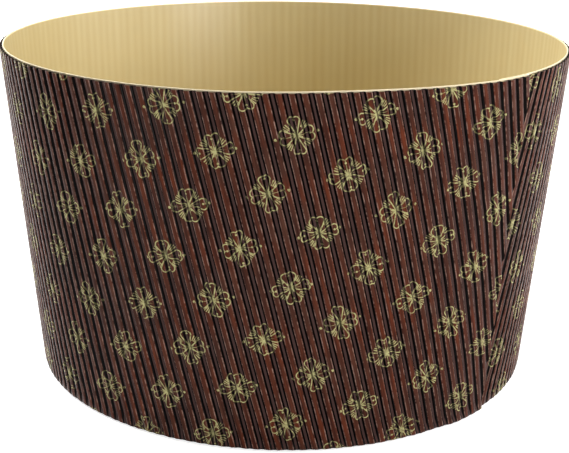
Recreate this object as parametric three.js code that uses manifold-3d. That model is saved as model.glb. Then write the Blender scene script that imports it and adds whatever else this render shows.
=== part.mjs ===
// A paper baking mold for a panettone: a tapered wall and a round base, both of single-face
// corrugated board. Board of this kind is a flat liner paper with a waved paper glued to it, so
// every flute is a small open channel. The flat liner faces the cake and the flutes face out.
// Millimetres, +Z up. The mold stands on z = 0 with its axis on Z, and its front faces -Y.
import * as THREE from 'three';
import { mergeVertices } from 'three/addons/utils/BufferGeometryUtils.js';
import Module from 'manifold-3d';

const wasm = await Module();
wasm.setup();

// Outer form
const rimDiameter = 170;
const footDiameter = 154.5;
const moldHeight = 99;

// Board section
const linerPaper = 0.3;
const wavedPaper = 0.25;
const fluteHeight = 1.25;
const flutePitch = 3.1;
const crestWidth = 1.9;
const flankRun = 0.3;
const channelInset = 0.2;

// The flutes lie straight in the flat blank, and lean this far to the left at the front
const fluteLean = 13.5;

// Glued seam: the left end of the blank lies on top, and its cut edge is at this turn
const seamTurn = 48;
const lapWidth = 12;
const lapRamp = 9;
const lapGap = 0.3;
const pressedShare = 0.45;
const pressedRamp = 6;

// Foot: the flutes are pressed flat at the fold and the wall is turned in under the base
const foldHeight = 2.5;
const hemWidth = 9;
const hemThickness = 0.6;

// Base
const glueLine = 0.1;
const baseClearance = 0.3;
const ventCount = 8;
const ventDiameter = 4;
const ventCircle = 92;
const baseSides = 96;
const ventSides = 16;

const rimRadius = rimDiameter / 2;
const footRadius = footDiameter / 2;
const boardThickness = linerPaper + fluteHeight;
const taper = (rimRadius - footRadius) / moldHeight;
const sineOfTaper = Math.sin(Math.atan(taper));
const radians = THREE.MathUtils.degToRad;
const coneRadius = (height) => footRadius + taper * height;

// How a flute is laid out across its pitch: foot, crest and foot of the waved paper
const acrossFlute = [0, flankRun, flankRun + crestWidth, 2 * flankRun + crestWidth];
const acrossChannel = [
  channelInset,
  flankRun + channelInset / 2,
  flankRun + crestWidth - channelInset / 2,
  2 * flankRun + crestWidth - channelInset,
];

// The blank is a ring sector. Rolled up, its turn runs from the end that is covered, once round
// the back and to the end on top. The front is at turn 0.
const overTurn = radians(seamTurn);
const underTurn = overTurn - 2 * Math.PI - lapWidth / rimRadius;
const lean = radians(fluteLean);

/** Distance across the flutes of a point of the flat blank. */
function acrossBlank(turn, radius) {
  return (radius / sineOfTaper) * Math.sin(turn * sineOfTaper + lean);
}

/** Turn at which the line that lies this far across the flutes passes a radius of the cone. */
function turnOfLine(across, radius) {
  return (Math.asin((across * sineOfTaper) / radius) - lean) / sineOfTaper;
}

// For cutting, the wall is held open like a fan, so that its ends lie clear of each other
const fanShare = 0.4;
const trimReach = 3 * rimDiameter;

function fanPoint(turn, radius, height) {
  const angle = turn * fanShare;
  return [radius * Math.sin(angle), -radius * Math.cos(angle), height];
}

/** A mesh as a solid of the cutting library. */
function toSolid(geometry) {
  const bare = geometry.clone();
  bare.deleteAttribute('normal');
  bare.deleteAttribute('uv');
  const merged = mergeVertices(bare, 1e-4);
  return new wasm.Manifold(new wasm.Mesh({
    numProp: 3,
    vertProperties: new Float32Array(merged.attributes.position.array),
    triVerts: new Uint32Array(merged.index.array),
  }));
}

/** A solid of the cutting library as a mesh, each point moved by the given function. */
function toGeometry(solid, move = (point) => point) {
  const { numProp, vertProperties, triVerts } = solid.getMesh();
  const positions = [];
  for (let i = 0; i < vertProperties.length; i += numProp) {
    positions.push(...move([vertProperties[i], vertProperties[i + 1], vertProperties[i + 2]]));
  }
  const geometry = new THREE.BufferGeometry();
  geometry.setAttribute('position', new THREE.Float32BufferAttribute(positions, 3));
  geometry.setIndex(Array.from(triVerts));
  geometry.computeVertexNormals();
  return geometry;
}

/** The wall's levels, from the rim down, round the fold and in to the edge of the hem. */
function wallLevels() {
  const upright = [moldHeight, (moldHeight + foldHeight) / 2, foldHeight].map((height) => {
    const crest = coneRadius(height);
    return {
      flow: crest,
      crest: [crest, height],
      valley: [crest - fluteHeight + wavedPaper, height],
      channelTop: [crest - wavedPaper, height],
      channelFloor: [crest - fluteHeight, height],
      inner: [crest - boardThickness, height],
    };
  });
  const fold = {
    flow: footRadius,
    crest: [footRadius, 0],
    valley: [footRadius, 0],
    inner: [footRadius - hemThickness, hemThickness],
  };
  const hemEdge = {
    flow: footRadius,
    crest: [footRadius - hemWidth, 0],
    inner: [footRadius - hemWidth, hemThickness],
  };
  return [...upright, fold, hemEdge];
}

/** The flutes that the blank holds, as whole numbers of pitches across it. */
function fluteRange() {
  const edges = [rimRadius, footRadius].flatMap((radius) => [
    acrossBlank(underTurn, radius),
    acrossBlank(overTurn, radius),
  ]);
  return {
    first: Math.floor(Math.min(...edges) / flutePitch) - 1,
    last: Math.ceil(Math.max(...edges) / flutePitch),
  };
}

/** The corrugated wall as one closed surface, held open as a fan, its ends not yet trimmed. */
function fannedWall() {
  const levels = wallLevels();
  const positions = [];
  const triangles = [];

  const point = (across, level, [radius, height]) => {
    positions.push(...fanPoint(turnOfLine(across, level.flow), radius, height));
    return positions.length / 3 - 1;
  };
  const polygon = (...corners) => {
    for (let i = 2; i < corners.length; i += 1) {
      triangles.push(corners[0], corners[i - 1], corners[i]);
    }
  };
  const outward = (left, right, top, low) => polygon(left[top], left[low], right[low], right[top]);
  const inward = (left, right, top, low) => polygon(left[top], right[top], right[low], left[low]);

  // One line of points down the board for each corner of a flute
  const fluteLines = (flute) => {
    const start = flute * flutePitch;
    const [edge, crestLeft, crestRight, foot] = acrossFlute;
    const line = (offset, place, kept) => levels
      .filter(kept)
      .map((level) => point(start + offset, level, level[place]));
    const walled = (level) => level.valley;
    const hollow = (level) => level.channelTop;
    return {
      edge: line(edge, 'valley', walled),
      crestLeft: line(crestLeft, 'crest', walled),
      crestRight: line(crestRight, 'crest', walled),
      foot: line(foot, 'valley', walled),
      hem: line(edge, 'crest', (level) => !walled(level))[0],
      inner: line(edge, 'inner', () => true),
      channel: acrossChannel.map((offset, corner) => {
        const onFloor = corner === 0 || corner === acrossChannel.length - 1;
        return line(offset, onFloor ? 'channelFloor' : 'channelTop', hollow);
      }),
    };
  };

  const upright = levels.filter((level) => level.valley).length;
  const hollow = levels.filter((level) => level.channelTop).length;
  const steps = (count) => Array.from({ length: count - 1 }, (_, i) => [i, i + 1]);

  const outerFaces = (here, next) => {
    const lines = [here.edge, here.crestLeft, here.crestRight, here.foot, next.edge];
    for (const [top, low] of steps(upright)) {
      for (let i = 1; i < lines.length; i += 1) outward(lines[i - 1], lines[i], top, low);
    }
    const [edge, crestLeft, crestRight, foot, nextEdge] = lines.map((line) => line[upright - 1]);
    polygon(edge, here.hem, crestLeft);
    polygon(crestLeft, here.hem, crestRight);
    polygon(crestRight, here.hem, next.hem);
    polygon(crestRight, next.hem, foot);
    polygon(foot, next.hem, nextEdge);
  };

  const channelFaces = ({ channel: [left, topLeft, topRight, right] }) => {
    for (const [top, low] of steps(hollow)) {
      inward(left, topLeft, top, low);
      inward(topLeft, topRight, top, low);
      inward(topRight, right, top, low);
      outward(left, right, top, low);
    }
    const end = hollow - 1;
    polygon(left[end], topLeft[end], topRight[end], right[end]);
  };

  const innerFaces = (here, next) => {
    for (const [top, low] of steps(levels.length)) inward(here.inner, next.inner, top, low);
    const hemEdge = levels.length - 1;
    polygon(here.inner[hemEdge], next.inner[hemEdge], next.hem, here.hem);
  };

  const rimFaces = (here, next) => {
    const [left, topLeft, topRight, right] = here.channel.map((line) => line[0]);
    const [edge, crestLeft, crestRight, foot, nextEdge] = [
      here.edge, here.crestLeft, here.crestRight, here.foot, next.edge,
    ].map((line) => line[0]);
    polygon(edge, crestLeft, topLeft, left);
    polygon(crestLeft, crestRight, topRight, topLeft);
    polygon(crestRight, foot, right, topRight);
    polygon(edge, left, here.inner[0]);
    polygon(left, right, next.inner[0], here.inner[0]);
    polygon(right, foot, nextEdge, next.inner[0]);
  };

  const endFaces = (lines, close) => {
    const outer = [...lines.edge, lines.hem];
    for (const [top, low] of steps(levels.length)) {
      close(outer[top], outer[low], lines.inner[low], lines.inner[top]);
    }
  };

  const { first, last } = fluteRange();
  let here = fluteLines(first);
  endFaces(here, (...corners) => polygon(...corners.reverse()));
  for (let flute = first; flute < last; flute += 1) {
    const next = fluteLines(flute + 1);
    outerFaces(here, next);
    channelFaces(here);
    innerFaces(here, next);
    rimFaces(here, next);
    here = next;
  }
  endFaces(here, polygon);

  const geometry = new THREE.BufferGeometry();
  geometry.setAttribute('position', new THREE.Float32BufferAttribute(positions, 3));
  geometry.setIndex(triangles);
  return geometry;
}

/** A block on one side of the plane through the axis at a turn of the fanned wall. */
function fanBlock(turn, side, low, high) {
  const block = new THREE.BoxGeometry(trimReach, 2 * trimReach, high - low);
  block.translate((side * trimReach) / 2, 0, (high + low) / 2);
  block.rotateZ(turn * fanShare);
  return toSolid(block);
}

/** 0 before the start of a ramp, 1 past its end, and smooth between. */
function ramp(value, start, end) {
  return THREE.MathUtils.smoothstep(value, Math.min(start, end), Math.max(start, end));
}

/** Rolls a point of the fanned wall up, with the covered end pressed and the other laid on it. */
function rollUp([x, y, height]) {
  const turn = Math.atan2(x, -y) / fanShare;
  const innerRadius = coneRadius(height) - boardThickness;
  const depth = Math.hypot(x, y) - innerRadius;
  const seam = overTurn - 2 * Math.PI;
  const pressed = 1 - ramp(turn, seam, seam + pressedRamp / rimRadius);
  const share = 1 - pressed * (1 - pressedShare);
  const lapStart = overTurn - lapWidth / rimRadius;
  const raised = ramp(turn, lapStart - lapRamp / rimRadius, lapStart);
  const rise = linerPaper + fluteHeight * pressedShare + lapGap;
  const radius = innerRadius + (depth > 0 ? depth * share : depth) + raised * rise;
  return [radius * Math.sin(turn), -radius * Math.cos(turn), height];
}

/** The wall: one strip of board, trimmed along two generators, rolled up and lapped. */
function makeWall() {
  const above = moldHeight + trimReach;
  const hemNotch = overTurn - 2 * Math.PI + lapGap / footRadius;
  const trimmed = toSolid(fannedWall())
    .subtract(fanBlock(underTurn, -1, -trimReach, above))
    .subtract(fanBlock(overTurn, 1, -trimReach, above))
    .subtract(fanBlock(hemNotch, -1, -trimReach, hemThickness + lapGap));
  return toGeometry(trimmed, rollUp);
}

/** Starts of the flutes of flat board that is centred on x = 0 and at least this wide. */
function fluteStarts(width) {
  const halfCount = Math.ceil(width / flutePitch / 2);
  return Array.from({ length: 2 * halfCount }, (_, i) => (i - halfCount) * flutePitch);
}

/** A straight bar of this section, given as corners, along Y and centred on y = 0. */
function bar(corners, length) {
  const section = new THREE.Shape(corners.map(([x, z]) => new THREE.Vector2(x, z)));
  const extruded = new THREE.ExtrudeGeometry(section, { depth: length, bevelEnabled: false });
  extruded.rotateX(Math.PI / 2);
  extruded.translate(0, length / 2, 0);
  return toSolid(extruded);
}

/** Flat board with its flutes down and along Y, at least this wide each way. */
function flatBoard(width) {
  const starts = fluteStarts(width);
  const end = -starts[0];
  const valley = fluteHeight - wavedPaper;
  const outline = starts.flatMap((start) => {
    const [edge, crestLeft, crestRight, foot] = acrossFlute.map((offset) => start + offset);
    return [[edge, valley], [crestLeft, 0], [crestRight, 0], [foot, valley]];
  });
  outline.push([end, valley], [end, boardThickness], [-end, boardThickness]);
  let board = bar(outline, 2 * end);
  for (const start of starts) {
    const [left, topLeft, topRight, right] = acrossChannel.map((offset) => start + offset);
    const channel = [
      [topLeft, wavedPaper],
      [topRight, wavedPaper],
      [right, fluteHeight],
      [left, fluteHeight],
    ];
    board = board.subtract(bar(channel, 2 * end + 2 * flutePitch));
  }
  return board;
}

/** An upright round post, for cutting the base to its outline and making its vents. */
function post(radius, sides, x, y) {
  const height = 4 * boardThickness;
  const cylinder = new THREE.CylinderGeometry(radius, radius, height, sides);
  cylinder.rotateX(Math.PI / 2);
  cylinder.translate(x, y, boardThickness / 2);
  return toSolid(cylinder);
}

/** The base: a disc of the same board, liner up, with a ring of steam vents. */
function makeBase(seat) {
  const radius = coneRadius(seat) - boardThickness - baseClearance;
  let disc = flatBoard(2 * radius).intersect(post(radius, baseSides, 0, 0));
  for (let vent = 0; vent < ventCount; vent += 1) {
    const angle = (2 * Math.PI * (vent + 0.5)) / ventCount;
    const x = (ventCircle / 2) * Math.cos(angle);
    const y = (ventCircle / 2) * Math.sin(angle);
    disc = disc.subtract(post(ventDiameter / 2, ventSides, x, y));
  }
  return toGeometry(disc);
}

/** A named piece in its own paper colour. */
function piece(name, geometry, colour, roughness) {
  const material = new THREE.MeshStandardMaterial({ color: colour, roughness, metalness: 0 });
  const mesh = new THREE.Mesh(geometry, material);
  mesh.name = name;
  return mesh;
}

const baseSeat = hemThickness + glueLine;
const wall = piece('wall', makeWall(), 0x5a3d36, 0.75);
const base = piece('base', makeBase(baseSeat), 0xb0915a, 0.7);
base.position.z = baseSeat;

const panettoneMold = new THREE.Group();
panettoneMold.add(wall, base);

export default panettoneMold;
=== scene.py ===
"""Panettone mold of printed single-face corrugated board, dressed on its CAD frame."""

import logging
import math
from dataclasses import dataclass, field
from enum import Enum

import bpy
import numpy as np
from mathutils import Matrix, Vector


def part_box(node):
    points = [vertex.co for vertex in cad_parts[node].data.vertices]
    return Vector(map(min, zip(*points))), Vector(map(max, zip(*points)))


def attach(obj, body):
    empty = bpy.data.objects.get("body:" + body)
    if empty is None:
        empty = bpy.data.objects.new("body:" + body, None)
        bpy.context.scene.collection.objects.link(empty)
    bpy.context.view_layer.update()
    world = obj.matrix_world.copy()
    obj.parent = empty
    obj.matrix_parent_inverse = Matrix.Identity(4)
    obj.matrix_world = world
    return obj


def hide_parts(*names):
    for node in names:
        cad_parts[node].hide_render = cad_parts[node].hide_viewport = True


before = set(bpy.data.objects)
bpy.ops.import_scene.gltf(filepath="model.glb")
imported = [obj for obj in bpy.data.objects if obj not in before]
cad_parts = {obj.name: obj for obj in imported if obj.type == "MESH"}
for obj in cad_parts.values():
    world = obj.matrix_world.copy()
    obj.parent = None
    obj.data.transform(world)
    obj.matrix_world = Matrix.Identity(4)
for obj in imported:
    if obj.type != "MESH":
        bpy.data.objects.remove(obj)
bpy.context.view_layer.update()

log = logging.getLogger("panettone_mold")
MM = 0.001
WELD = 0.01 * MM
SMOOTH_BELOW = math.radians(50)
BODY = "root"
NodeTree = bpy.types.NodeTree
Socket = bpy.types.NodeSocket


class Slot(Enum):
    """Material slots of the record."""

    PRINTED_FLUTING = "printed_fluting"
    TAN_LINER = "tan_liner"


@dataclass(frozen=True)
class Board:
    """Section of the single-face board, in metres.

    The roundness is that of the crests' shoulders. Of each paper's thickness the drawn share
    is modelled, and the rest is left for the glue.
    """

    liner: float = 0.30 * MM
    waved: float = 0.25 * MM
    flute: float = 0.95 * MM
    pitch: float = 3.1 * MM
    valley: float = 0.80 * MM
    flank: float = 0.95 * MM
    roundness: float = 2.6
    drawn: float = 0.9

    @property
    def depth(self) -> float:
        """Whole thickness of the board."""
        return self.liner + self.flute

    @property
    def wave(self) -> float:
        """Depth of a valley below the crests, on the outside."""
        return self.flute - self.waved

    def stations(self) -> list[float]:
        """Places across one pitch where the waved paper bends.

        Returns:
            Offsets from a valley's middle, from 0 to one pitch.
        """
        foot = self.valley / 2
        rise = [foot + share * self.flank for share in (0.0, 0.1, 0.22, 0.35, 0.5, 0.65, 0.82, 1.0)]
        left = [0.0, *rise]
        return [*left, self.pitch / 2, *[self.pitch - place for place in reversed(left)]]

    def sunk(self, across: np.ndarray) -> np.ndarray:
        """Share of the wave's depth at places across the board, 1 in a valley and 0 on a crest.

        Args:
            across: Distances across the flutes, with a valley's middle at 0.
        """
        offset = np.abs(across - self.pitch * np.round(across / self.pitch))
        ramp = np.clip((offset - self.valley / 2) / self.flank, 0.0, 1.0)
        return (1.0 - ramp) ** self.roundness


def smooth_ramp(values: np.ndarray, start: float, end: float) -> np.ndarray:
    """0 before start, 1 past end and smooth between.

    Args:
        values: Values to ramp.
        start: Where the ramp leaves 0.
        end: Where the ramp reaches 1.
    """
    share = np.clip((values - start) / (end - start), 0.0, 1.0)
    return share * share * (3.0 - 2.0 * share)


@dataclass(frozen=True)
class RolledBlank:
    """How the flat ring-sector blank rolls up into the wall, in metres and radians."""

    rim_radius: float
    height: float
    foot_radius: float = 77.25 * MM
    lean: float = math.radians(13.5)
    seam_turn: float = math.radians(48.0)
    lap: float = 12.0 * MM
    lap_ramp: float = 9.0 * MM
    lap_gap: float = 0.06 * MM
    lap_pressed: float = 0.45
    covered_ramp: float = 0.05
    fold_radius: float = 0.9 * MM
    hem_width: float = 8.6 * MM
    pressed_wave: float = 0.10 * MM
    pressing: float = 2.6 * MM
    pressed_past: float = 0.2 * MM
    slack: float = 1.8 * MM
    slack_turn: float = math.radians(12.0)
    slack_reach: float = math.radians(26.0)
    board: Board = field(default_factory=Board)

    @property
    def taper(self) -> float:
        """Half angle of the cone."""
        return math.atan((self.rim_radius - self.foot_radius) / self.height)

    @property
    def rim_slant(self) -> float:
        """Radius of the blank's rim edge when it lies flat."""
        return self.rim_radius / math.sin(self.taper)

    @property
    def over_turn(self) -> float:
        """Turn of the end that lies on top."""
        return self.seam_turn

    @property
    def under_turn(self) -> float:
        """Turn of the end that is covered."""
        return self.seam_turn - 2 * math.pi - self.lap / self.rim_radius

    @property
    def fold_start(self) -> float:
        """Distance down the wall at which the fold starts."""
        level = self.fold_radius * (1.0 - math.sin(self.taper))
        return (self.height - level) / math.cos(self.taper)

    @property
    def hem_start(self) -> float:
        """Distance down the wall at which the flat hem starts."""
        return self.fold_start + self.fold_radius * (math.pi / 2 - self.taper)

    @property
    def hem_end(self) -> float:
        """Distance down the wall at which the hem ends."""
        return self.hem_start + self.hem_width

    def across_at(self, turn: float, down: float) -> float:
        """Distance across the flutes of a point of the blank.

        Args:
            turn: Turn round the mold, 0 at the front.
            down: Distance down from the rim.
        """
        return (self.rim_slant - down) * math.sin(turn * math.sin(self.taper) + self.lean)

    def turns(self, across: np.ndarray, down: np.ndarray) -> np.ndarray:
        """Turn round the mold of points of the blank.

        Args:
            across: Distances across the flutes.
            down: Distances down from the rim.
        """
        slant = self.rim_slant - down
        return (np.arcsin(across / slant) - self.lean) / math.sin(self.taper)

    def wave(self, down: np.ndarray) -> np.ndarray:
        """Depth of the waves at distances down the wall: full, then pressed flat at the fold."""
        end = self.fold_start + self.pressed_past
        pressed = smooth_ramp(down, self.fold_start - self.pressing, end)
        return self.board.wave + (self.pressed_wave - self.board.wave) * pressed

    def place(self, turn: np.ndarray, down: np.ndarray, depth: np.ndarray) -> np.ndarray:
        """Points of the rolled wall.

        Args:
            turn: Turns round the mold.
            down: Distances down from the rim.
            depth: Depths below the outer face of the crests.

        Returns:
            Coordinates, one row a point.
        """
        tilt = self.taper
        on_fold = np.clip((down - self.fold_start) / self.fold_radius, 0.0, math.pi / 2 - tilt)
        facing = -tilt - on_fold
        wall = np.minimum(down, self.fold_start)
        hem = np.maximum(down - self.hem_start, 0.0)
        centre = self.rim_radius - self.fold_start * math.sin(tilt) - self.fold_radius * math.cos(tilt)
        reach = self.fold_radius - depth
        back = self.fold_start - wall
        radius = centre + back * math.sin(tilt) + reach * np.cos(facing) - hem
        level = self.fold_radius + back * math.cos(tilt) + reach * np.sin(facing)

        inner_depth = self.wave(down) + self.board.waved + self.board.liner
        seam = self.over_turn - 2 * math.pi
        covered = 1.0 - smooth_ramp(turn, seam, seam + self.covered_ramp)
        lap_start = self.over_turn - self.lap / self.rim_radius
        raised = smooth_ramp(turn, lap_start - self.lap_ramp / self.rim_radius, lap_start)
        rise = self.board.liner + self.board.flute * self.lap_pressed + self.lap_gap
        sunk = (inner_depth - depth) * covered * (1.0 - self.lap_pressed)
        radius = radius - sunk * np.cos(facing) + rise * raised

        # The rim isn't quite round: it stands in a little at the front, as in the photograph
        aside = np.clip((turn - self.slack_turn) / self.slack_reach, -1.0, 1.0)
        up_wall = 1.0 - wall / self.fold_start
        radius = radius - self.slack * np.cos(aside * math.pi / 2) ** 2 * up_wall**2
        return np.stack([radius * np.sin(turn), -radius * np.cos(turn), level], axis=-1)


def select_only(obj: bpy.types.Object) -> bpy.types.Object:
    """Makes an object the only selected and active one, and returns it."""
    bpy.ops.object.select_all(action="DESELECT")
    obj.select_set(True)
    bpy.context.view_layer.objects.active = obj
    return obj


def apply_modifier(obj: bpy.types.Object, kind: str, **settings: object) -> None:
    """Adds a modifier with its settings and applies it.

    Args:
        obj: The piece.
        kind: Modifier type.
        settings: Its settings by name.
    """
    select_only(obj)
    modifier = obj.modifiers.new(kind.lower(), kind)
    for name, value in settings.items():
        setattr(modifier, name, value)
    bpy.ops.object.modifier_apply(modifier=modifier.name)


def points_of(obj: bpy.types.Object) -> np.ndarray:
    """Coordinates of a mesh's vertices, one row a vertex."""
    flat = np.empty(len(obj.data.vertices) * 3)
    obj.data.vertices.foreach_get("co", flat)
    return flat.reshape(-1, 3)


def set_points(obj: bpy.types.Object, points: np.ndarray) -> None:
    """Moves a mesh's vertices.

    Args:
        obj: The piece.
        points: New coordinates, one row a vertex.
    """
    obj.data.vertices.foreach_set("co", points.astype(np.float32).ravel())
    obj.data.update()


def set_vectors(obj: bpy.types.Object, name: str, rows: np.ndarray) -> None:
    """Stores one vector a vertex under a name.

    Args:
        obj: The piece.
        name: Attribute name.
        rows: One row a vertex.
    """
    attribute = obj.data.attributes.new(name, "FLOAT_VECTOR", "POINT")
    attribute.data.foreach_set("vector", rows.astype(np.float32).ravel())


def cut_along(obj: bpy.types.Object, point: Vector, normal: Vector) -> None:
    """Cuts a mesh in edit mode and drops the side that the normal points to.

    Args:
        obj: The piece.
        point: A point of the cut.
        normal: Direction of the side to drop.
    """
    select_only(obj)
    bpy.ops.object.mode_set(mode="EDIT")
    bpy.ops.mesh.select_all(action="SELECT")
    bpy.ops.mesh.bisect(plane_co=point, plane_no=normal, clear_outer=True)
    bpy.ops.object.mode_set(mode="OBJECT")


def add_grid(name: str, columns: list[float], rows: list[float]) -> bpy.types.Object:
    """A flat grid whose lines stand at the given places.

    Args:
        name: Object name.
        columns: X of each column.
        rows: Y of each row, in rising order.
    """
    bpy.ops.object.select_all(action="DESELECT")
    bpy.ops.mesh.primitive_grid_add(
        x_subdivisions=len(columns) - 1, y_subdivisions=len(rows) - 1, size=2.0
    )
    grid = bpy.context.object
    grid.name = name
    grid.data.name = name
    points = points_of(grid)
    column = np.rint((points[:, 0] + 1) / 2 * (len(columns) - 1)).astype(int)
    row = np.rint((points[:, 1] + 1) / 2 * (len(rows) - 1)).astype(int)
    places = [np.array(columns)[column], np.array(rows)[row], np.zeros(len(points))]
    set_points(grid, np.stack(places, axis=-1))
    return grid


def repeat_flute(sheet: bpy.types.Object, pitch: float, count: int) -> None:
    """Repeats a sheet's one flute side by side and welds the copies together.

    Args:
        sheet: The sheet, one flute wide.
        pitch: Distance from flute to flute.
        count: Number of flutes.
    """
    apply_modifier(
        sheet,
        "ARRAY",
        count=count,
        use_relative_offset=False,
        use_constant_offset=True,
        constant_offset_displace=(pitch, 0.0, 0.0),
        use_merge_vertices=True,
        merge_threshold=WELD,
    )


def drop_where(obj: bpy.types.Object, dropped: np.ndarray) -> None:
    """Deletes vertices in edit mode.

    Args:
        obj: The piece.
        dropped: One flag a vertex.
    """
    select_only(obj)
    for kind in (obj.data.vertices, obj.data.edges, obj.data.polygons):
        kind.foreach_set("select", np.zeros(len(kind), dtype=bool))
    obj.data.vertices.foreach_set("select", dropped)
    bpy.ops.object.mode_set(mode="EDIT")
    bpy.ops.mesh.select_mode(type="VERT")
    bpy.ops.mesh.delete(type="VERT")
    bpy.ops.object.mode_set(mode="OBJECT")


def linear(code: str) -> tuple[float, float, float, float]:
    """Linear colour of an sRGB hex code such as "#c0a060"."""
    shares = [int(code[i : i + 2], 16) / 255 for i in (1, 3, 5)]
    lit = [s / 12.92 if s <= 0.04045 else ((s + 0.055) / 1.055) ** 2.4 for s in shares]
    return (*lit, 1.0)


def add_node(tree: NodeTree, kind: str, settings: dict, links: dict) -> bpy.types.Node:
    """Adds a node to a tree.

    Args:
        tree: The node tree.
        kind: Node type.
        settings: Node properties by name, and input values by number or input name in capitals
            as Blender shows it.
        links: Output sockets by input number or name.
    """
    node = tree.nodes.new(kind)
    for key, value in settings.items():
        if isinstance(key, str) and hasattr(node, key):
            setattr(node, key, value)
        else:
            node.inputs[key].default_value = value
    for key, source in links.items():
        tree.links.new(source, node.inputs[key])
    return node


def new_material(name: str) -> tuple[bpy.types.Material, NodeTree]:
    """An empty node material and its tree."""
    material = bpy.data.materials.new(name)
    material.use_nodes = True
    material.node_tree.nodes.clear()
    return material, material.node_tree


def run_formula(tree: NodeTree, known: dict, steps: list[tuple]) -> dict:
    """Builds a chain of math nodes from named steps.

    Args:
        tree: The node tree.
        known: Sockets by name.
        steps: Tuples of result name, operation and inputs, each a name or a number.

    Returns:
        All sockets by name.
    """
    made = dict(known)
    for name, operation, *inputs in steps:
        values = {i: v for i, v in enumerate(inputs) if not isinstance(v, str)}
        sources = {i: made[v] for i, v in enumerate(inputs) if isinstance(v, str)}
        node = add_node(tree, "ShaderNodeMath", {"operation": operation, **values}, sources)
        made[name] = node.outputs[0]
    return made


def blank_place(tree: NodeTree) -> Socket:
    """Socket with the place on the flat blank, in millimetres: across, along and down."""
    stored = add_node(tree, "ShaderNodeAttribute", {"attribute_name": "blank"}, {})
    return stored.outputs["Vector"]


def stretch(tree: NodeTree, place: Socket, scale: tuple[float, float, float]) -> Socket:
    """Scales a place by direction, for patterns drawn out along the flutes.

    Args:
        tree: The node tree.
        place: The place to scale.
        scale: Factors across, along and down.
    """
    return add_node(tree, "ShaderNodeMapping", {"Scale": scale}, {"Vector": place}).outputs[0]


def noise(
    tree: NodeTree,
    place: Socket,
    scale: float,
    detail: float,
    roughness: float = 0.5,
) -> Socket:
    """Cloudy noise between 0 and 1.

    Args:
        tree: The node tree.
        place: Where it is looked up.
        scale: Clouds a unit of place.
        detail: Levels of finer clouds.
        roughness: Strength of the finer clouds.
    """
    return add_node(
        tree,
        "ShaderNodeTexNoise",
        {"Scale": scale, "Detail": detail, "Roughness": roughness},
        {"Vector": place},
    ).outputs[0]


def spread(
    tree: NodeTree,
    value: Socket,
    start: float,
    end: float,
    low: float = 0.0,
    high: float = 1.0,
) -> Socket:
    """Spreads values between start and end over low to high.

    Args:
        tree: The node tree.
        value: The value to spread.
        start: Value that becomes low.
        end: Value that becomes high.
        low: Lowest result.
        high: Highest result.
    """
    limits = {"From Min": start, "From Max": end, "To Min": low, "To Max": high}
    return add_node(tree, "ShaderNodeMapRange", limits, {"Value": value}).outputs[0]


def mix_colour(tree: NodeTree, share: Socket, under: str | Socket, over: str | Socket) -> Socket:
    """Mixes two colours, each a hex code or a socket.

    Args:
        tree: The node tree.
        share: Share of the second colour.
        under: First colour.
        over: Second colour.
    """
    settings = {"data_type": "RGBA"}
    links = {0: share}
    for slot, colour in ((6, under), (7, over)):
        if isinstance(colour, str):
            settings[slot] = linear(colour)
        else:
            links[slot] = colour
    return add_node(tree, "ShaderNodeMix", settings, links).outputs[2]


def raise_by(tree: NodeTree, height: Socket, strength: float, distance: float) -> Socket:
    """Normals of a surface that is raised a little where a pattern is high.

    Args:
        tree: The node tree.
        height: The pattern.
        strength: Strength of the effect.
        distance: Height of the pattern in metres.
    """
    settings = {"Strength": strength, "Distance": distance}
    return add_node(tree, "ShaderNodeBump", settings, {"Height": height}).outputs[0]


def add_shader(tree: NodeTree, settings: dict, links: dict) -> None:
    """Adds the surface's shader, with its settings and links, and the material's output."""
    shader = add_node(tree, "ShaderNodeBsdfPrincipled", settings, links)
    add_node(tree, "ShaderNodeOutputMaterial", {}, {0: shader.outputs[0]})


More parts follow.
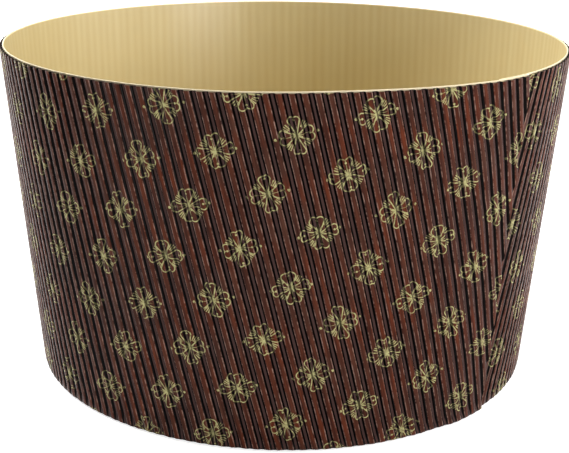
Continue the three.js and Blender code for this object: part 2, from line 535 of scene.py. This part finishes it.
@dataclass(frozen=True)
class BlossomPrint:
    """Line blossoms in staggered columns over the blank, in millimetres and degrees."""

    column: float = 10.2
    row: float = 25.97
    stagger: float = 13.135
    first_across: float = 224.17
    first_along: float = 1061.46
    line: float = 0.30
    edge: float = 0.10
    wide_petal: tuple[float, float, float] = (15.0, 3.35, 1.05)
    long_petal: tuple[float, float, float] = (81.0, 3.95, 0.85)
    rays: tuple[float, ...] = (38.0, 47.0, 56.0)
    ray_span: tuple[float, float] = (2.4, 4.0)
    stamens: tuple[float, ...] = (22.0, 68.0)
    stamen_span: tuple[float, float] = (0.35, 1.5)
    stroke_side: float = 0.45
    bead: float = 0.28
    bead_places: tuple[float, float] = (3.2, 3.9)
    side_dot: float = 0.36
    side_dot_place: float = 5.3

    def mask(self, tree: NodeTree, across: Socket, along: Socket) -> Socket:
        """Socket that is 1 on the ink and 0 between it.

        Args:
            tree: The material's node tree.
            across: Socket with millimetres across the flutes.
            along: Socket with millimetres along the flutes.
        """
        steps = [
            ("a", "SUBTRACT", "across", self.first_across),
            ("l", "SUBTRACT", "along", self.first_along),
            ("a_cells", "DIVIDE", "a", self.column),
            ("col", "ROUND", "a_cells"),
            ("col_mid", "MULTIPLY", "col", self.column),
            ("x", "SUBTRACT", "a", "col_mid"),
            ("shifted", "MULTIPLY_ADD", "col", self.stagger, "l"),
            ("l_cells", "DIVIDE", "shifted", self.row),
            ("rank", "ROUND", "l_cells"),
            ("rank_mid", "MULTIPLY", "rank", self.row),
            ("y", "SUBTRACT", "shifted", "rank_mid"),
            ("x_size", "ABSOLUTE", "x"),
            ("y_size", "ABSOLUTE", "y"),
            # Every other blossom is turned by a quarter
            ("kind", "ADD", "col", "rank"),
            ("turned", "FLOORED_MODULO", "kind", 2.0),
            ("difference", "SUBTRACT", "y_size", "x_size"),
            ("p", "MULTIPLY_ADD", "difference", "turned", "x_size"),
            ("both", "ADD", "x_size", "y_size"),
            ("q", "SUBTRACT", "both", "p"),
        ]
        steps += self._petal("wide", *self.wide_petal)
        steps += self._petal("long", *self.long_petal)
        shapes = ["wide_line", "long_line"]
        strokes = [(turn, self.ray_span) for turn in self.rays]
        strokes += [(turn, self.stamen_span) for turn in self.stamens]
        for i, (turn, span) in enumerate(strokes):
            steps += self._stroke(f"stroke{i}", turn, *span)
            shapes.append(f"stroke{i}_gap")
        dots = [
            ("p", self.bead_places[0], "q", 0.0, self.bead),
            ("p", 0.0, "q", self.bead_places[1], self.bead),
            ("x_size", self.side_dot_place, "y_size", 0.0, self.side_dot),
            (
                "x_size",
                self.column - self.side_dot_place,
                "y_size",
                self.row / 2,
                self.side_dot,
            ),
        ]
        for i, dot in enumerate(dots):
            steps += self._dot(f"dot{i}", *dot)
            shapes.append(f"dot{i}_gap")
        nearest = shapes[0]
        for i, shape in enumerate(shapes[1:]):
            steps.append((f"nearest{i}", "MINIMUM", nearest, shape))
            nearest = f"nearest{i}"
        steps += [
            ("inked", "MULTIPLY_ADD", nearest, -1.0 / self.edge, 0.5),
            ("capped", "MINIMUM", "inked", 1.0),
            ("ink", "MAXIMUM", "capped", 0.0),
        ]
        return run_formula(tree, {"across": across, "along": along}, steps)["ink"]

    def _petal(self, name: str, turn: float, reach: float, size: float) -> list[tuple]:
        """Steps for the outline of one lobe of a petal, which its mirror image makes a heart.

        Args:
            name: Prefix of the steps' names; the outline is name_line.
            turn: Direction of the lobe's axis in degrees.
            reach: How far out its round end is centred.
            size: Radius of its round end.
        """
        return [
            *self._turned(name, turn),
            (f"{name}_low", "MAXIMUM", f"{name}_x", 0.0),
            (f"{name}_on", "MINIMUM", f"{name}_low", reach),
            (f"{name}_past", "SUBTRACT", f"{name}_x", f"{name}_on"),
            (f"{name}_pp", "MULTIPLY", f"{name}_past", f"{name}_past"),
            (f"{name}_dd", "MULTIPLY_ADD", f"{name}_y", f"{name}_y", f"{name}_pp"),
            (f"{name}_d", "SQRT", f"{name}_dd"),
            (f"{name}_in", "MULTIPLY_ADD", f"{name}_on", -size / reach, f"{name}_d"),
            (f"{name}_edge", "ABSOLUTE", f"{name}_in"),
            (f"{name}_line", "SUBTRACT", f"{name}_edge", self.line / 2),
        ]

    def _stroke(self, name: str, turn: float, start: float, end: float) -> list[tuple]:
        """Steps for a short stroke that points away from the blossom's middle.

        Args:
            name: Prefix of the steps' names; the stroke is name_gap.
            turn: Its direction in degrees.
            start: Distance from the middle at which it starts.
            end: Distance at which it ends.
        """
        return [
            *self._turned(name, turn),
            (f"{name}_off", "SUBTRACT", f"{name}_x", (start + end) / 2),
            (f"{name}_long", "ABSOLUTE", f"{name}_off"),
            (f"{name}_end", "SUBTRACT", f"{name}_long", (end - start) / 2),
            (f"{name}_wide", "ABSOLUTE", f"{name}_y"),
            (f"{name}_side", "SUBTRACT", f"{name}_wide", self.line * self.stroke_side),
            (f"{name}_gap", "MAXIMUM", f"{name}_end", f"{name}_side"),
        ]

    def _dot(self, name: str, u: str, u0: float, v: str, v0: float, size: float) -> list[tuple]:
        """Steps for a round dot.

        Args:
            name: Prefix of the steps' names; the dot is name_gap.
            u: First coordinate.
            u0: Its value at the dot's middle.
            v: Second coordinate.
            v0: Its value at the dot's middle.
            size: Radius.
        """
        return [
            (f"{name}_u", "SUBTRACT", u, u0),
            (f"{name}_v", "SUBTRACT", v, v0),
            (f"{name}_uu", "MULTIPLY", f"{name}_u", f"{name}_u"),
            (f"{name}_rr", "MULTIPLY_ADD", f"{name}_v", f"{name}_v", f"{name}_uu"),
            (f"{name}_r", "SQRT", f"{name}_rr"),
            (f"{name}_gap", "SUBTRACT", f"{name}_r", size),
        ]

    def _turned(self, name: str, turn: float) -> list[tuple]:
        """Steps for the coordinates along and square to a direction, given in degrees."""
        cos, sin = math.cos(math.radians(turn)), math.sin(math.radians(turn))
        return [
            (f"{name}_px", "MULTIPLY", "p", cos),
            (f"{name}_x", "MULTIPLY_ADD", "q", sin, f"{name}_px"),
            (f"{name}_py", "MULTIPLY", "p", -sin),
            (f"{name}_y", "MULTIPLY_ADD", "q", cos, f"{name}_py"),
        ]


@dataclass(frozen=True)
class PrintedWavedPaper:
    """Waved baking paper, printed brown all over with gold line blossoms.

    The painted shade on the flanks and the painted highlights along the crests' edges are placed by
    the share of a flank that is climbed. A fade is how much of the effect is lost over a whole flank.
    """

    crest: str = "#5e2a17"
    grey_crest: str = "#4b2d22"
    dark_streak: str = "#301710"
    # Darker, greyer painted shade in the valleys
    valley: str = "#44302d"
    # Near-black painted shade on the flanks
    flank_shade: str = "#060201"
    ink: str = "#aba673"
    # Pale painted highlight along the crests' edges
    edge_highlight: str = "#b59385"
    roughness: float = 0.25
    gloss: float = 0.04
    sheen: float = 0.4
    sheen_roughness: float = 0.14
    sheen_tint: str = "#fbe6de"
    # Place, strength, fade and wander of the painted shade on the flanks
    flank_shade_place: float = 0.16
    flank_shade_strength: float = 1.85
    shade_fade: float = 4.75
    climb_wander: float = 0.32
    # Place, fade and strongest share of the painted highlight on the crests' edges
    highlight_place: float = 0.55
    highlight_fade: float = 6.0
    highlight_most: float = 0.7
    # Share of the ink taken out under the painted flank shade
    ink_lost_in_flank_shade: float = 0.75

    def build(self, board: Board, blossom: BlossomPrint) -> bpy.types.Material:
        """Makes the material.

        Args:
            board: Section of the board, for the places of crests and valleys.
            blossom: The printed ornament.
        """
        material, tree = new_material("printed_waved_paper")
        blank = blank_place(tree)
        across, along, _ = add_node(tree, "ShaderNodeSeparateXYZ", {}, {0: blank}).outputs
        zones = self._zones(tree, blank, across, board)
        printed = blossom.mask(tree, across, along)
        # Darker, greyer painted shade in the valleys
        colour = mix_colour(tree, zones["valley_shade"], self._ground(tree, blank), self.valley)
        # Near-black painted shade on the flanks, near the valleys' feet
        colour = mix_colour(tree, zones["on_flank_shade"], colour, self.flank_shade)
        # Pale painted highlight along the crests' edges, in patches
        colour = mix_colour(tree, self._edge_highlight(tree, blank, zones["on_edge"]), colour, self.edge_highlight)
        # The ink is mostly taken out under the painted flank shade
        ink = self._ink_share(tree, blank, printed, zones["ink_left"])
        colour = mix_colour(tree, ink, colour, self.ink)
        fibre = noise(tree, blank, 2.5, 3.0)
        add_shader(
            tree,
            {
                "Roughness": self.roughness,
                "Specular IOR Level": self.gloss,
                "Sheen Weight": self.sheen,
                "Sheen Roughness": self.sheen_roughness,
                "Sheen Tint": linear(self.sheen_tint),
            },
            {"Base Color": colour, "Normal": raise_by(tree, fibre, 0.25, 0.1 * MM)},
        )
        return material

    def _zones(self, tree: NodeTree, blank: Socket, across: Socket, board: Board) -> dict:
        """Sockets that are 1 in a valley, on its flanks' painted shade and on the crests' edges.

        Args:
            tree: The node tree.
            blank: Place on the blank.
            across: Its part across the flutes.
            board: Section of the board.
        """
        pitch = board.pitch / MM
        # The painted shade and highlight lines wander a little along the flutes
        wander = noise(tree, stretch(tree, blank, (0.6, 0.09, 0.09)), 1.0, 2.0)
        return run_formula(
            tree,
            {"across": across, "noise": wander},
            [
                ("uneven", "SUBTRACT", "noise", 0.5),
                ("pitches", "DIVIDE", "across", pitch),
                ("nearest", "ROUND", "pitches"),
                ("valley_mid", "MULTIPLY", "nearest", pitch),
                ("offset", "SUBTRACT", "across", "valley_mid"),
                ("away", "ABSOLUTE", "offset"),
                ("past_foot", "SUBTRACT", "away", board.valley / 2 / MM),
                ("even_climb", "DIVIDE", "past_foot", board.flank / MM),
                ("climb", "MULTIPLY_ADD", "uneven", self.climb_wander, "even_climb"),
                # Painted shade on the flanks, near the valleys' feet
                ("off_flank_shade", "SUBTRACT", "climb", self.flank_shade_place),
                ("from_flank_shade", "ABSOLUTE", "off_flank_shade"),
                ("flank_shade_raw", "MULTIPLY_ADD", "from_flank_shade", -self.shade_fade, self.flank_shade_strength),
                ("flank_shade_low", "MAXIMUM", "flank_shade_raw", 0.0),
                ("on_flank_shade", "MINIMUM", "flank_shade_low", 1.0),
                # Painted shade in the valleys
                ("valley_raw", "MULTIPLY_ADD", "climb", -self.shade_fade, 1.0),
                ("valley_low", "MAXIMUM", "valley_raw", 0.0),
                ("valley_shade", "MINIMUM", "valley_low", 1.0),
                # Painted highlight along the crests' edges
                ("off_edge", "SUBTRACT", "climb", self.highlight_place),
                ("from_edge", "ABSOLUTE", "off_edge"),
                ("edge_raw", "MULTIPLY_ADD", "from_edge", -self.highlight_fade, 1.0),
                ("on_edge", "MAXIMUM", "edge_raw", 0.0),
                ("ink_left", "MULTIPLY_ADD", "on_flank_shade", -self.ink_lost_in_flank_shade, 1.0),
            ],
        )

    def _ground(self, tree: NodeTree, blank: Socket) -> Socket:
        """The brown ground: redder and greyer patches under dark streaks."""
        patch = spread(tree, noise(tree, blank, 0.06, 3.0), 0.35, 0.65)
        brown = mix_colour(tree, patch, self.crest, self.grey_crest)
        # The streaks lie along the flutes, under 1 mm wide and some 20 mm long
        streak = noise(tree, stretch(tree, blank, (1.2, 0.05, 0.05)), 1.0, 4.0, 0.6)
        return mix_colour(tree, spread(tree, streak, 0.35, 0.68), brown, self.dark_streak)

    def _edge_highlight(self, tree: NodeTree, blank: Socket, on_edge: Socket) -> Socket:
        """Share of painted highlight along the crests' edges, broken into patches."""
        highlight_noise = noise(tree, blank, 0.35, 3.0, 0.7)
        steps = [
            ("patch", "MULTIPLY_ADD", "highlight_noise", 3.0, -1.25),
            ("patch_low", "MAXIMUM", "patch", 0.0),
            ("patch_on", "MINIMUM", "patch_low", self.highlight_most),
            ("highlight_share", "MULTIPLY", "patch_on", "edge"),
        ]
        return run_formula(tree, {"highlight_noise": highlight_noise, "edge": on_edge}, steps)["highlight_share"]

    def _ink_share(
        self, tree: NodeTree, blank: Socket, printed: Socket, ink_left: Socket
    ) -> Socket:
        """Share of gold ink: it didn't take evenly, and little of it is left under the painted flank
        shade.

        Args:
            tree: The node tree.
            blank: Place on the blank.
            printed: 1 where the blossoms are printed.
            ink_left: Share of the ink that the painted flank shade leaves.
        """
        taken = spread(tree, noise(tree, blank, 1.1, 3.0), 0.30, 0.55, 0.25, 1.0)
        steps = [("even", "MULTIPLY", "printed", "taken"), ("ink", "MULTIPLY", "even", "left")]
        known = {"printed": printed, "taken": taken, "left": ink_left}
        return run_formula(tree, known, steps)["ink"]


@dataclass(frozen=True)
class GreaseproofLiner:
    """Smooth tan greaseproof paper, calendered to a low sheen."""

    colour: str = "#c4b586"
    shade: str = "#b8a371"
    cream: str = "#f6e6c0"
    cream_band: float = 0.45
    roughness: float = 0.4
    gloss: float = 0.7

    def build(self, board: Board) -> bpy.types.Material:
        """Makes the material.

        Args:
            board: Section of the board, whose flutes show through as faint stripes.
        """
        material, tree = new_material("greaseproof_liner")
        blank = blank_place(tree)
        across, _, down = add_node(tree, "ShaderNodeSeparateXYZ", {}, {0: blank}).outputs
        streak = noise(tree, stretch(tree, blank, (0.35, 0.02, 0.02)), 1.0, 3.0)
        made = run_formula(
            tree,
            {"across": across, "down": down, "streak": streak},
            [
                ("phase", "MULTIPLY", "across", 2 * math.pi / (board.pitch / MM)),
                ("cosine", "COSINE", "phase"),
                ("wave", "MULTIPLY_ADD", "cosine", 0.5, 0.5),
                ("fine", "MULTIPLY", "wave", 0.35),
                ("both", "MULTIPLY_ADD", "streak", 0.8, "fine"),
                ("shade", "SUBTRACT", "both", 0.15),
                ("rim", "LESS_THAN", "down", self.cream_band),
            ],
        )
        tan = mix_colour(tree, made["shade"], self.colour, self.shade)
        # Bare cream fibre shows along the cut rim
        toned = mix_colour(tree, made["rim"], tan, self.cream)
        add_shader(
            tree,
            {"Roughness": self.roughness, "Specular IOR Level": self.gloss},
            {"Base Color": toned, "Normal": raise_by(tree, made["wave"], 0.3, 0.06 * MM)},
        )
        return material


@dataclass(frozen=True)
class CutPaperEdge:
    """Cut edge of a paper: bare fibre, a little rough."""

    name: str
    colour: str
    pale: str
    fibres_a_metre: float = 900.0
    roughness: float = 0.8

    def build(self) -> bpy.types.Material:
        """Makes the material."""
        material, tree = new_material(self.name)
        place = add_node(tree, "ShaderNodeTexCoord", {}, {}).outputs["Object"]
        fibre = noise(tree, place, self.fibres_a_metre, 3.0)
        colour = mix_colour(tree, fibre, self.colour, self.pale)
        add_shader(tree, {"Roughness": self.roughness}, {"Base Color": colour})
        return material


@dataclass(frozen=True)
class Papers:
    """The finishes that the pieces share."""

    printed: bpy.types.Material
    liner: bpy.types.Material
    cream_edge: bpy.types.Material
    brown_edge: bpy.types.Material


def dress(piece: bpy.types.Object, node: str, materials: list) -> bpy.types.Object:
    """Gives a piece its finishes and ties it to the frame.

    Args:
        piece: The new mesh.
        node: CAD node that it stands for.
        materials: Its materials, in slot order.
    """
    for material in materials:
        piece.data.materials.append(material)
    select_only(piece)
    bpy.ops.object.shade_smooth_by_angle(angle=SMOOTH_BELOW)
    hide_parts(node)
    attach(piece, BODY)
    return piece


@dataclass
class Wall:
    """The rolled wall: a waved outer paper and a flat liner, glued at the valleys."""

    blank: RolledBlank
    board: Board
    papers: Papers
    wall_rows: int = 6
    pressing_rows: int = 5
    fold_rows: int = 4
    hem_rows: int = 3
    top_band: float = 0.5 * MM
    liner_columns: int = 300
    spare_turn: float = 0.4
    bare_rim: float = 0.35 * MM
    notch_above: float = 1.0 * MM
    slow_unevenness: float = 0.10 * MM
    slow_waves: tuple[float, float, float] = (37 * MM, 41 * MM, 90 * MM)
    quick_unevenness: float = 0.05 * MM
    quick_wave: float = 17 * MM
    flute_step: float = 2.4

    def levels(self, start: float) -> list[float]:
        """Distances down the wall at which a paper has a row of points.

        Args:
            start: Distance of its cut edge below the rim.
        """
        blank = self.blank
        press = blank.fold_start - blank.pressing
        upright = [start, *np.linspace(start + self.top_band, press, self.wall_rows)]
        shares = np.linspace(1 / self.pressing_rows, 1.0, self.pressing_rows)
        pressing = press + (blank.fold_start - press) * shares
        fold = np.linspace(blank.fold_start, blank.hem_start, self.fold_rows)[1:]
        hem = np.linspace(blank.hem_start, blank.hem_end, self.hem_rows)[1:]
        return [*upright, *pressing, *fold, *hem]

    def build(self) -> list[bpy.types.Object]:
        """Builds and dresses both papers."""
        return [self._waved_paper(), self._liner()]

    def _trim(self, sheet: bpy.types.Object) -> None:
        """Trims a flat sheet, X across the flutes and Y down, along the two glued ends."""
        blank = self.blank
        for turn, side in ((blank.over_turn, 1.0), (blank.under_turn, -1.0)):
            top = Vector((blank.across_at(turn, 0.0), 0.0, 0.0))
            low = Vector((blank.across_at(turn, blank.hem_end), blank.hem_end, 0.0))
            along = (low - top).normalized()
            cut_along(sheet, top, side * Vector((along.y, -along.x, 0.0)))

    def _notch(self, sheet: bpy.types.Object) -> None:
        """Drops the hem under the covered end, so that only one hem lies in the lap."""
        blank = self.blank
        points = points_of(sheet)
        turns = blank.turns(points[:, 0], points[:, 1])
        covered = turns < blank.over_turn - 2 * math.pi
        drop_where(sheet, covered & (points[:, 1] > blank.fold_start - self.notch_above))

    def _remember_blank(self, sheet: bpy.types.Object, across: np.ndarray, down: np.ndarray) -> None:
        """Stores each point's place on the flat blank, in millimetres, for the finishes."""
        slant = self.blank.rim_slant - down
        along = np.sqrt(slant**2 - across**2)
        set_vectors(sheet, "blank", np.stack([across, along, down], axis=-1) / MM)

    def _wander(self, across: np.ndarray, down: np.ndarray) -> np.ndarray:
        """Uneven depth of hand-set board: each flute and stretch lies a little deeper."""
        flute = np.round(across / self.board.pitch)
        over, along, skew = self.slow_waves
        slow = np.sin(across / over) * np.sin(down / along + across / skew)
        quick = np.sin(self.flute_step * flute) * np.sin(down / self.quick_wave + flute)
        return self.slow_unevenness * (1.0 + slow) + self.quick_unevenness * (1.0 + quick)

    def _thicken(self, sheet: bpy.types.Object, thickness: float, offset: float) -> None:
        """Gives a rolled sheet its thickness and cuts it level with the rim.

        Args:
            sheet: The rolled sheet.
            thickness: Thickness of the paper.
            offset: Side it grows to, 1 inward and -1 outward.
        """
        apply_modifier(
            sheet, "SOLIDIFY", thickness=thickness, offset=offset, material_offset_rim=1
        )
        points = points_of(sheet)
        points[:, 2] = np.minimum(points[:, 2], self.blank.height)
        set_points(sheet, points)

    def _waved_paper(self) -> bpy.types.Object:
        """The brown waved paper: one flute, repeated across the blank, trimmed and rolled up."""
        blank, board = self.blank, self.board
        edges = [
            blank.across_at(turn, down)
            for turn in (blank.under_turn, blank.over_turn)
            for down in (0.0, blank.hem_end)
        ]
        first = math.floor(min(edges) / board.pitch) - 1
        last = math.ceil(max(edges) / board.pitch) + 1
        columns = [first * board.pitch + place for place in board.stations()]
        sheet = add_grid("wall_waved_paper", columns, self.levels(self.bare_rim))
        repeat_flute(sheet, board.pitch, last - first)
        self._trim(sheet)
        self._notch(sheet)
        across, down = points_of(sheet)[:, :2].T
        turn = blank.turns(across, down)
        depth = blank.wave(down) * board.sunk(across) + self._wander(across, down)
        self._remember_blank(sheet, across, down)
        set_points(sheet, blank.place(turn, down, depth))
        self._thicken(sheet, board.waved * board.drawn, 1.0)
        papers = self.papers
        return dress(sheet, "wall", [papers.printed, papers.brown_edge])

    def _liner(self) -> bpy.types.Object:
        """The flat tan liner inside the waved paper."""
        blank, board = self.blank, self.board
        start = blank.across_at(blank.under_turn - self.spare_turn, 0.0)
        end = blank.across_at(blank.over_turn + self.spare_turn, 0.0)
        columns = list(np.linspace(start, end, self.liner_columns))
        sheet = add_grid("wall_liner", columns, self.levels(0.0))
        self._trim(sheet)
        self._notch(sheet)
        across, down = points_of(sheet)[:, :2].T
        turn = blank.turns(across, down)
        depth = blank.wave(down) + board.waved + board.liner + self._wander(across, down)
        self._remember_blank(sheet, across, down)
        set_points(sheet, blank.place(turn, down, depth))
        self._thicken(sheet, board.liner * board.drawn, -1.0)
        papers = self.papers
        return dress(sheet, "wall", [papers.liner, papers.cream_edge])


@dataclass
class Base:
    """The base: a disc of the same board, liner up, with a ring of steam vents."""

    board: Board
    papers: Papers
    low: Vector
    high: Vector
    sides: int = 128
    vent_count: int = 8
    vent_radius: float = 2.0 * MM
    vent_circle: float = 46.0 * MM
    vent_sides: int = 24
    cutter_height: float = 20 * MM
    overhang: float = 1.1

    @property
    def radius(self) -> float:
        """Radius of the disc, from its CAD box."""
        return (self.high.x - self.low.x) / 2

    def _cutters(self) -> bpy.types.Object:
        """Upright posts where the vents are, joined into one object."""
        posts = []
        for vent in range(self.vent_count):
            angle = 2 * math.pi * (vent + 0.5) / self.vent_count
            bpy.ops.mesh.primitive_cylinder_add(
                vertices=self.vent_sides,
                radius=self.vent_radius,
                depth=self.cutter_height,
                location=(
                    self.vent_circle * math.cos(angle),
                    self.vent_circle * math.sin(angle),
                    0.0,
                ),
            )
            posts.append(bpy.context.object)
        select_only(posts[0])
        for post in posts:
            post.select_set(True)
        bpy.ops.object.join()
        bpy.ops.object.transform_apply()
        return bpy.context.object

    def build(self) -> list[bpy.types.Object]:
        """Builds and dresses both papers of the disc."""
        return [self._waved_paper(), self._liner()]

    def _finish(self, sheet: bpy.types.Object, materials: list) -> bpy.types.Object:
        """Cuts the vents, remembers the board's directions and dresses the paper."""
        cutters = self._cutters()
        apply_modifier(sheet, "BOOLEAN", operation="DIFFERENCE", object=cutters, solver="EXACT")
        bpy.data.objects.remove(cutters)
        points = points_of(sheet)
        flat = np.stack([points[:, 0], points[:, 1], np.zeros(len(points))], axis=-1)
        set_vectors(sheet, "blank", flat / MM)
        return dress(sheet, "base", materials)

    def _waved_paper(self) -> bpy.types.Object:
        """The waved paper under the disc, its flutes along Y."""
        board = self.board
        half_count = math.ceil(self.radius / board.pitch)
        columns = [-half_count * board.pitch + place for place in board.stations()]
        reach = self.radius * self.overhang
        sheet = add_grid("base_waved_paper", columns, [-reach, reach])
        repeat_flute(sheet, board.pitch, 2 * half_count)
        points = points_of(sheet)
        points[:, 2] = self.low.z + board.wave * board.sunk(points[:, 0])
        set_points(sheet, points)
        apply_modifier(sheet, "SOLIDIFY", thickness=board.waved * board.drawn, offset=1.0)
        bpy.ops.mesh.primitive_cylinder_add(
            vertices=self.sides,
            radius=self.radius,
            depth=self.cutter_height,
            location=(0.0, 0.0, 0.0),
        )
        outline = bpy.context.object
        apply_modifier(sheet, "BOOLEAN", operation="INTERSECT", object=outline, solver="EXACT")
        bpy.data.objects.remove(outline)
        papers = self.papers
        return self._finish(sheet, [papers.printed])

    def _liner(self) -> bpy.types.Object:
        """The flat liner on top of the disc."""
        bpy.ops.object.select_all(action="DESELECT")
        bpy.ops.mesh.primitive_circle_add(
            vertices=self.sides, radius=self.radius, fill_type="NGON"
        )
        sheet = bpy.context.object
        sheet.name = sheet.data.name = "base_liner"
        points = points_of(sheet)
        points[:, 2] = self.low.z + self.board.depth
        set_points(sheet, points)
        apply_modifier(
            sheet,
            "SOLIDIFY",
            thickness=self.board.liner * self.board.drawn,
            offset=-1.0,
            material_offset_rim=1,
        )
        papers = self.papers
        return self._finish(sheet, [papers.liner, papers.cream_edge])


@dataclass
class Studio:
    """Pale floor, soft lamps and the photograph's camera.

    The camera's lengths are in millimetres and its angles in radians. The floor's size and the
    lamps' places and sizes are in metres, and the lamps' powers in watts.
    """

    image_width: int = 569
    sensor: float = 36.0
    focal_pixels: float = 1132.1
    camera_back: float = 345.6
    camera_rise: float = 153.5
    yaw: float = 0.0013
    pitch: float = -0.3228
    roll: float = 0.0122
    floor_size: float = 3.4
    floor_seen: float = 0.7
    floor_in_gloss: float = 0.9
    soft_light: float = 0.18
    aim: tuple[float, float, float] = (0.0, 0.0, 0.05)

    def build(self) -> None:
        """Makes the camera, the floor, the lamps and the world."""
        self._camera()
        self._floor()
        self._lamps()
        self._world()

    def _camera(self) -> None:
        """A camera at the photograph's viewing angle."""
        forward = Vector((
            math.sin(self.yaw) * math.cos(self.pitch),
            math.cos(self.yaw) * math.cos(self.pitch),
            math.sin(self.pitch),
        ))
        level = forward.cross(Vector((0.0, 0.0, 1.0))).normalized()
        upright = level.cross(forward)
        right = math.cos(self.roll) * level + math.sin(self.roll) * upright
        up = -math.sin(self.roll) * level + math.cos(self.roll) * upright
        turn = Matrix((right, up, -forward)).transposed().to_4x4()
        data = bpy.data.cameras.new("photo_camera")
        data.sensor_fit = "HORIZONTAL"
        data.sensor_width = self.sensor
        data.lens = self.focal_pixels / self.image_width * self.sensor
        data.clip_start = 0.01
        data.clip_end = 50.0
        camera = bpy.data.objects.new("photo_camera", data)
        place = Vector((0.0, -self.camera_back, self.camera_rise)) * MM
        camera.matrix_world = Matrix.Translation(place) @ turn
        bpy.context.collection.objects.link(camera)
        bpy.context.scene.camera = camera

    def _floor(self) -> None:
        """A wide pale floor that shows white to the camera and keeps the mold's shadow."""
        bpy.ops.object.select_all(action="DESELECT")
        bpy.ops.mesh.primitive_plane_add(size=self.floor_size, location=(0.0, 0.0, 0.0))
        floor = bpy.context.object
        floor.name = "floor"
        material, tree = new_material("pale_floor")
        path = add_node(tree, "ShaderNodeLightPath", {}, {}).outputs
        seen = run_formula(
            tree,
            {"camera": path["Is Camera Ray"], "glossy": path["Is Glossy Ray"]},
            [
                ("seen", "MULTIPLY", "camera", self.floor_seen),
                ("lift", "MULTIPLY_ADD", "glossy", self.floor_in_gloss, "seen"),
            ],
        )["lift"]
        add_shader(
            tree,
            {
                "Base Color": linear("#f4f4f4"),
                "Roughness": 0.9,
                "Specular IOR Level": 0.0,
                "Emission Color": (1.0, 1.0, 1.0, 1.0),
            },
            {"Emission Strength": seen},
        )
        floor.data.materials.append(material)

    def _lamps(self) -> None:
        """Four large soft boxes."""
        for name, place, size, power in (
            ("front_box", (0.72, -0.80, 0.22), 0.4, 6.0),
            ("right_box", (0.95, 0.10, 0.55), 0.7, 8.5),
            ("left_box", (-0.62, 0.52, 0.85), 0.7, 23.0),
            ("top_box", (0.0, -0.15, 1.1), 0.6, 3.0),
        ):
            data = bpy.data.lights.new(name, "AREA")
            data.shape = "SQUARE"
            data.size = size
            data.energy = power
            lamp = bpy.data.objects.new(name, data)
            lamp.location = place
            aim = Vector(self.aim) - Vector(place)
            lamp.rotation_euler = aim.to_track_quat("-Z", "Y").to_euler()
            bpy.context.collection.objects.link(lamp)

    def _world(self) -> None:
        """A white surround for the camera and for gloss, and a plain soft light for the rest."""
        world = bpy.data.worlds.new("white_surround")
        bpy.context.scene.world = world
        world.use_nodes = True
        tree = world.node_tree
        tree.nodes.clear()
        path = add_node(tree, "ShaderNodeLightPath", {}, {}).outputs
        strength = run_formula(
            tree,
            {"camera": path["Is Camera Ray"], "glossy": path["Is Glossy Ray"]},
            [
                ("seen", "MAXIMUM", "camera", "glossy"),
                ("s", "MULTIPLY_ADD", "seen", 1.0 - self.soft_light, self.soft_light),
            ],
        )["s"]
        back = add_node(
            tree, "ShaderNodeBackground", {"Color": (1.0, 1.0, 1.0, 1.0)}, {"Strength": strength}
        )
        add_node(tree, "ShaderNodeOutputWorld", {}, {0: back.outputs[0]})


def main() -> None:
    """Builds the pieces round the frame and the studio round them."""
    logging.basicConfig(level=logging.INFO)
    bpy.context.scene.view_settings.view_transform = "Standard"
    wall_low, wall_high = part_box("wall")
    base_low, base_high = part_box("base")
    board = Board()
    blank = RolledBlank(
        rim_radius=(wall_high.x - wall_low.x) / 2, height=wall_high.z, board=board
    )
    papers = Papers(
        printed=PrintedWavedPaper().build(board, BlossomPrint()),
        liner=GreaseproofLiner().build(board),
        cream_edge=CutPaperEdge("cream_cut_edge", "#fff3da", "#fffbf0").build(),
        brown_edge=CutPaperEdge("brown_cut_edge", "#4a332c", "#7a5d4c").build(),
    )
    pieces = Wall(blank, board, papers).build()
    pieces += Base(board, papers, base_low, base_high).build()
    for piece in pieces:
        log.info("%s: %d faces", piece.name, len(piece.data.polygons))
    Studio().build()


if __name__ == "__main__":
    main()
